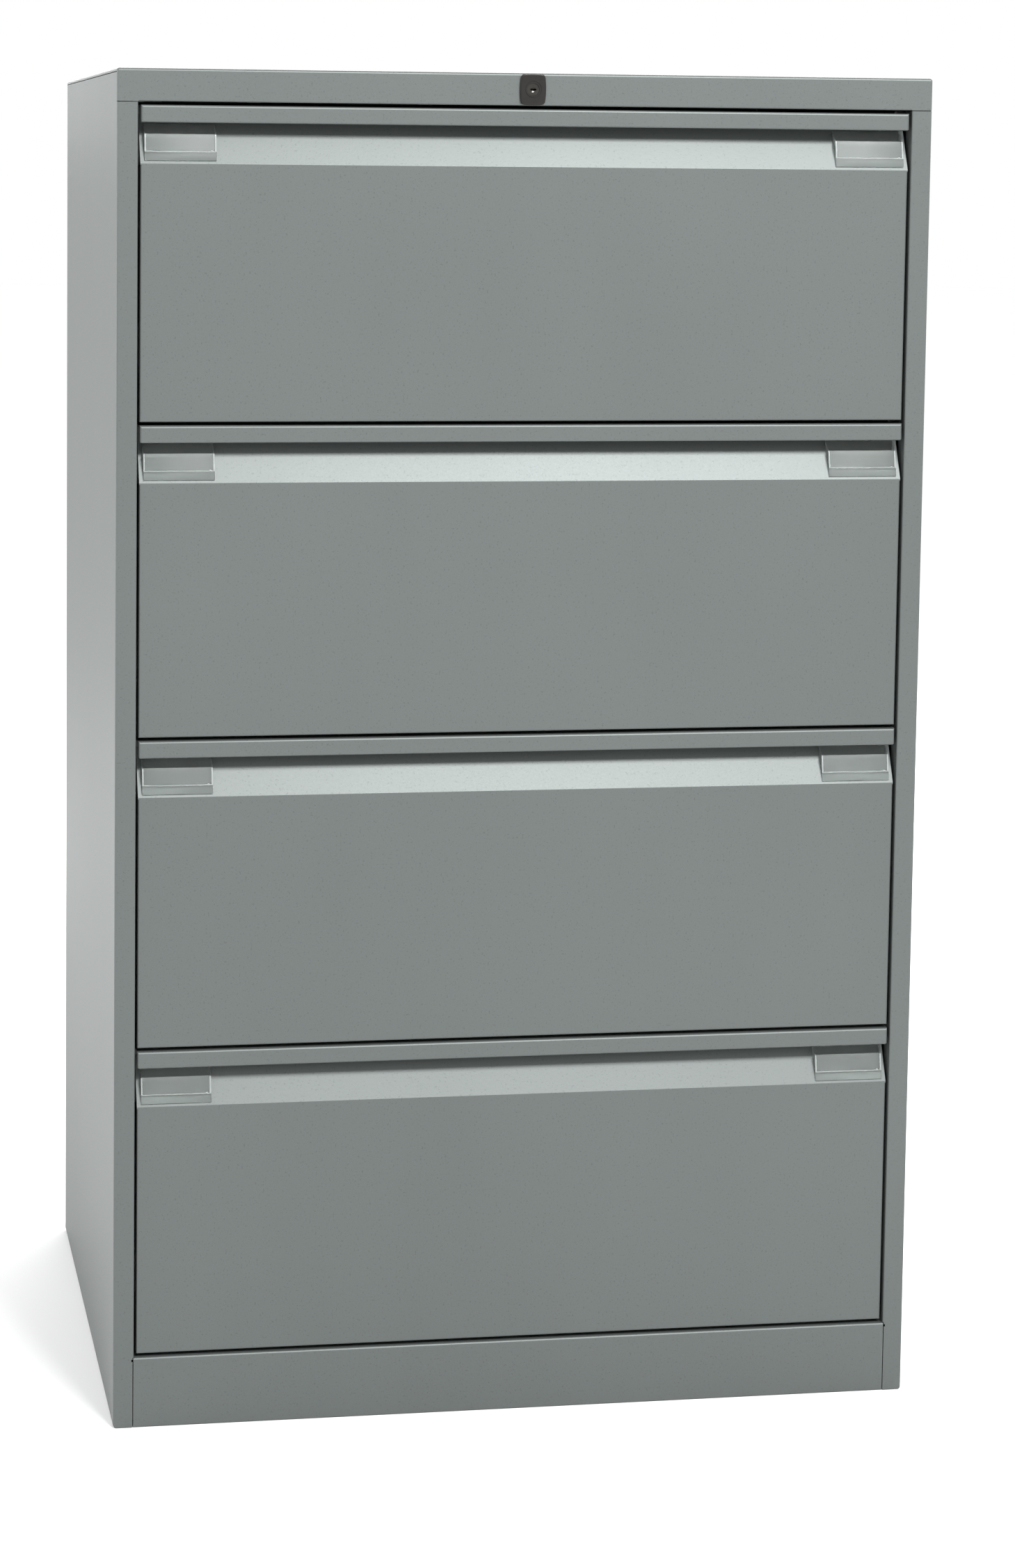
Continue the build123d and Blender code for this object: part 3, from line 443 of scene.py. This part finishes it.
def moulded_strip(size, seat):
    """A rounded strip that stands on its seat, its back face in the seat's plane."""
    bpy.ops.object.select_all(action="DESELECT")
    bpy.ops.mesh.primitive_cube_add(size=1)
    strip = bpy.context.object
    bpy.ops.object.mode_set(mode="EDIT")
    bpy.ops.mesh.select_all(action="SELECT")
    bpy.ops.transform.translate(value=(0, -0.5, 0.5))
    bpy.ops.transform.resize(value=size, center_override=(0, 0, 0))
    bpy.ops.mesh.bevel(offset=0.45 * size[1], segments=3)
    bpy.ops.object.mode_set(mode="OBJECT")
    strip.data.transform(seat)
    strip.data.materials.append(thick_styrene)
    return strip


def gate_mark(seat):
    """The flattened bead left where the plastic entered the mould."""
    bpy.ops.object.select_all(action="DESELECT")
    bpy.ops.mesh.primitive_uv_sphere_add(segments=16, ring_count=10, radius=gate_radius)
    bead = bpy.context.object
    bpy.ops.object.mode_set(mode="EDIT")
    bpy.ops.mesh.select_all(action="SELECT")
    bpy.ops.transform.resize(value=(1.3, 0.6, 0.8), center_override=(0, 0, 0))
    bpy.ops.object.mode_set(mode="OBJECT")
    bead.data.transform(seat)
    bead.data.materials.append(thick_styrene)
    return bead


for number in drawers:
    node = f"drawer_{number}_label_holders"
    low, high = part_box(node)
    holders = from_cad(f"drawer_{number}_label_mouldings", node)
    rounding = holders.modifiers.new("rounding", "BEVEL")
    rounding.width = edge_round
    rounding.segments = 3
    rounding.limit_method = "ANGLE"
    bpy.ops.object.modifier_apply(modifier=rounding.name)
    holders.data.materials.append(thin_styrene)
    window_y = low[1] + bar_height * sin(window_lean) / cos(window_lean) + bar_step
    window_z = low[2] + bar_height
    lean = Matrix.Rotation(-window_lean, 4, "X")
    parts = []
    for left in (low[0], high[0] - holder_width):
        for x in (left + rim_width / 2, left + holder_width - rim_width / 2):
            foot = Matrix.Translation((x, window_y, window_z)) @ lean
            parts.append(moulded_strip((rim_width, rim_proud, window_height), foot))
        bead = Matrix.Translation((left + holder_width / 2, window_y, window_z)) @ lean
        parts.append(moulded_strip((holder_width - 2 * rim_width, rim_proud, bead_height), bead))
        gate = (left + holder_width - gate_inset, window_y, window_z + gate_radius)
        parts.append(gate_mark(Matrix.Translation(gate) @ lean))
    bpy.ops.object.select_all(action="DESELECT")
    for part in (*parts, holders):
        part.select_set(True)
    bpy.context.view_layer.objects.active = holders
    bpy.ops.object.join()
    bpy.ops.object.shade_smooth_by_angle(angle=radians(30))
    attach(holders, f"drawer_{number}")
    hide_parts(node)


# ---- Tray rivets
# Each drawer's runner is fixed through the tray's side with five steel rivets. Their domed heads,
# with the pit of the broken stem, show inside the tray.
rivet_radius = 0.0042
rivet_flatness = 0.42
rivet_pit = 0.0008
pit_share = 0.4
pit_wall_share = 0.15
rivets_per_side = 5
tray_sheet = 0.0008


def pop_rivet():
    """A domed head that stands up from the origin along +Z."""
    bpy.ops.object.select_all(action="DESELECT")
    bpy.ops.mesh.primitive_uv_sphere_add(segments=20, ring_count=12, radius=rivet_radius)
    head = bpy.context.object
    bpy.ops.object.mode_set(mode="EDIT")
    bpy.ops.mesh.select_all(action="SELECT")
    bpy.ops.mesh.bisect(plane_co=(0, 0, 0), plane_no=(0, 0, 1), clear_inner=True, use_fill=True)
    bpy.ops.mesh.select_all(action="SELECT")
    bpy.ops.transform.resize(value=(1, 1, rivet_flatness), center_override=(0, 0, 0))
    bpy.ops.mesh.select_all(action="DESELECT")
    shape = bmesh.from_edit_mesh(head.data)
    for face in shape.faces:
        middle = face.calc_center_median()
        face.select_set(middle.z > 0 and Vector((middle.x, middle.y)).length < pit_share * rivet_radius)
    bmesh.update_edit_mesh(head.data)
    bpy.ops.mesh.inset(thickness=pit_wall_share * rivet_radius, use_even_offset=False)
    bpy.ops.transform.translate(value=(0, 0, -rivet_pit))
    bpy.ops.object.mode_set(mode="OBJECT")
    return head


def set_out(master, name, seats):
    """Copies of a master at every seat, joined into one piece. The master is removed."""
    copies = []
    for seat in seats:
        copy = bpy.data.objects.new(name, master.data.copy())
        copy.data.transform(seat)
        bpy.context.scene.collection.objects.link(copy)
        copies.append(copy)
    bpy.data.objects.remove(master)
    bpy.ops.object.select_all(action="DESELECT")
    for copy in copies:
        copy.select_set(True)
    bpy.context.view_layer.objects.active = copies[0]
    bpy.ops.object.join()
    bpy.ops.object.shade_smooth_by_angle(angle=radians(35))
    copies[0].name = name
    return copies[0]


for number in drawers:
    runner_low, runner_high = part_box(f"drawer_{number}_runner_inner")
    tray_low, tray_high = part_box(f"drawer_{number}_tray")
    level = (runner_low[2] + runner_high[2]) / 2
    step = (runner_high[1] - runner_low[1]) / rivets_per_side
    seats = []
    for index in range(rivets_per_side):
        y = runner_low[1] + (index + 0.5) * step
        for x, facing in ((tray_low[0] + tray_sheet, pi / 2), (tray_high[0] - tray_sheet, -pi / 2)):
            seats.append(Matrix.Translation((x, y, level)) @ Matrix.Rotation(facing, 4, "Y"))
    rivets = set_out(pop_rivet(), f"drawer_{number}_tray_rivets", seats)
    rivets.data.materials.append(bright_plate)
    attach(rivets, f"drawer_{number}")
